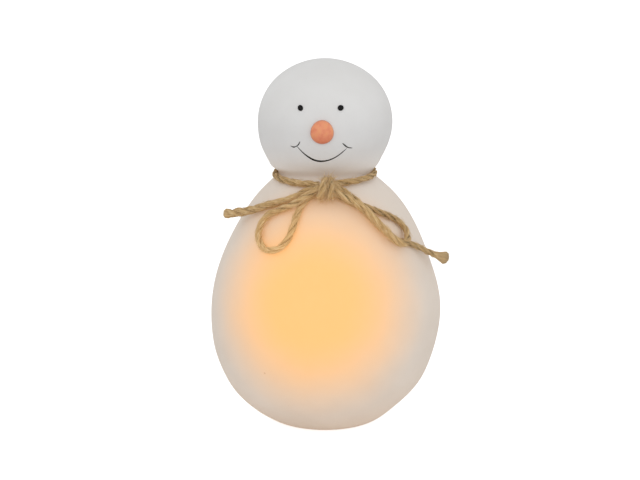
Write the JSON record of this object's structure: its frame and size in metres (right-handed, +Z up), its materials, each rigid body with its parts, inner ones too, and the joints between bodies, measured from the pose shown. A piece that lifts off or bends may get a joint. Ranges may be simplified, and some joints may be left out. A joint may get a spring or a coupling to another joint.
{
  "type": "lit snowman ornament",
  "caption": "Hollow porcelain snowman ornament with a jute twine bow, painted face and a pull-out coin-cell LED module in its foot.",
  "frame": {"origin": "middle of the foot, on the surface it stands on", "axes": "+Z up through the crown, -Y the way the face looks, +X to the right of a viewer facing it"},
  "size_m": [0.0961, 0.0928, 0.149],
  "materials": {
    "porcelain": "matte",
    "nose_glaze": "matte",
    "eye_enamel": "gloss",
    "smile_paint": "matte",
    "jute": "matte",
    "module_plastic": "satin",
    "silicone": "matte",
    "screw_steel": "satin",
    "cell_steel": "satin",
    "contact_metal": "satin",
    "circuit_board": "satin",
    "chip_epoxy": "matte",
    "resistor_body": "satin",
    "switch_can": "satin",
    "slider_plastic": "satin",
    "led_epoxy": "gloss",
    "red_insulation": "satin",
    "black_insulation": "satin"
  },
  "bodies": {
    "figure": {"ceramic_shell": "porcelain", "nose": "nose_glaze", "eye_left": "eye_enamel", "eye_right": "eye_enamel", "painted_smile": "smile_paint", "twine_collar": "jute", "twine_knot": "jute", "bow_loop_left": "jute", "bow_loop_right": "jute", "bow_tail_left": "jute", "bow_tail_right": "jute"},
    "light_module": {"module_base": "module_plastic", "retaining_ring": "silicone", "module_cover": "module_plastic", "cover_screws": "screw_steel", "coin_cell": "cell_steel", "negative_contact": "contact_metal", "positive_contact": "contact_metal", "circuit_board": "circuit_board", "timer_chip": "chip_epoxy", "resistor": "resistor_body", "switch_body": "switch_can", "led_stalk": "module_plastic", "led_holder": "module_plastic", "led_bulb": "led_epoxy", "led_legs": "contact_metal", "led_wire_positive": "red_insulation", "led_wire_negative": "black_insulation"},
    "switch_slider": {"switch_slider": "slider_plastic"},
    "battery_door": {"battery_door": "module_plastic"},
    "door_screw": {"door_screw": "screw_steel"}
  },
  "joints": [
    {"name": "module_pull", "type": "slide", "parent": "figure", "child": "light_module", "axis": [0, 0, -1], "range_m": [0, 0.055]},
    {"name": "switch_slide", "type": "slide", "parent": "light_module", "child": "switch_slider", "axis": [1, 0, 0], "range_m": [-0.002, 0.002]},
    {"name": "door_lift", "type": "slide", "parent": "light_module", "child": "battery_door", "axis": [0, 0, -1], "range_m": [0, 0.02]},
    {"name": "door_screw_turn", "type": "hinge", "parent": "battery_door", "child": "door_screw", "pos_m": [0.0076, -0.0082, 0.00135], "axis": [0, 0, 1], "continuous": true}
  ]
}
